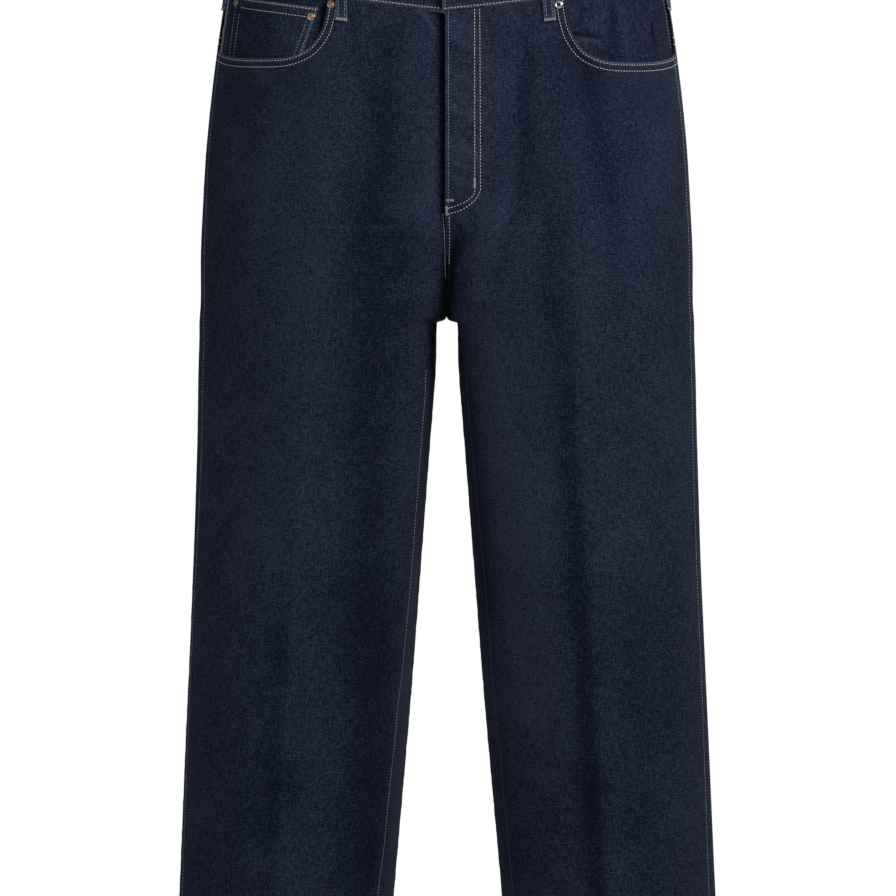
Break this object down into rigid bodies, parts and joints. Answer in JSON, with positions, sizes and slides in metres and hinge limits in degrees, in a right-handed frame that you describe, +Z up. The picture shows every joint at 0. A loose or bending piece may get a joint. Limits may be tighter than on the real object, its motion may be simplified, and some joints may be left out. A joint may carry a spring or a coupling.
{
  "type": "wide leg jeans",
  "caption": "Wide leg jeans in dark denim, filled out as worn, with straight wide legs, pressed creases, slant front pockets, a coin pocket, belt loops and a lapped fly.",
  "frame": {"origin": "the waist mount: in the middle of the waist opening, on the centre front plane, at half the waistband's height at the centre front", "axes": "+Z up the body out of the waist, -Y the way the front faces, +X the wearer's left"},
  "size_m": [0.4978, 0.2498, 1.1472],
  "materials": {
    "denim": "dark indigo twill, matt",
    "copper": "worn copper",
    "nickel": "bright nickel"
  },
  "bodies": {
    "root": {"front_right": "denim", "front_left": "denim", "back_right": "denim", "back_left": "denim", "yoke_right": "denim", "yoke_left": "denim", "waistband": "denim", "fly_shield": "denim", "facing_right": "denim", "facing_left": "denim", "coin_pocket": "denim", "back_pocket_right": "denim", "back_pocket_left": "denim", "belt_loop_front_right": "denim", "belt_loop_front_left": "denim", "belt_loop_side_right": "denim", "belt_loop_side_left": "denim", "belt_loop_back": "denim", "hem_right": "denim", "hem_left": "denim", "rivet_pocket_right": "copper", "rivet_coin_inner": "copper", "rivet_coin_outer": "copper", "rivet_pocket_left": "nickel", "waist_button": "copper"}
  },
  "joints": []
}
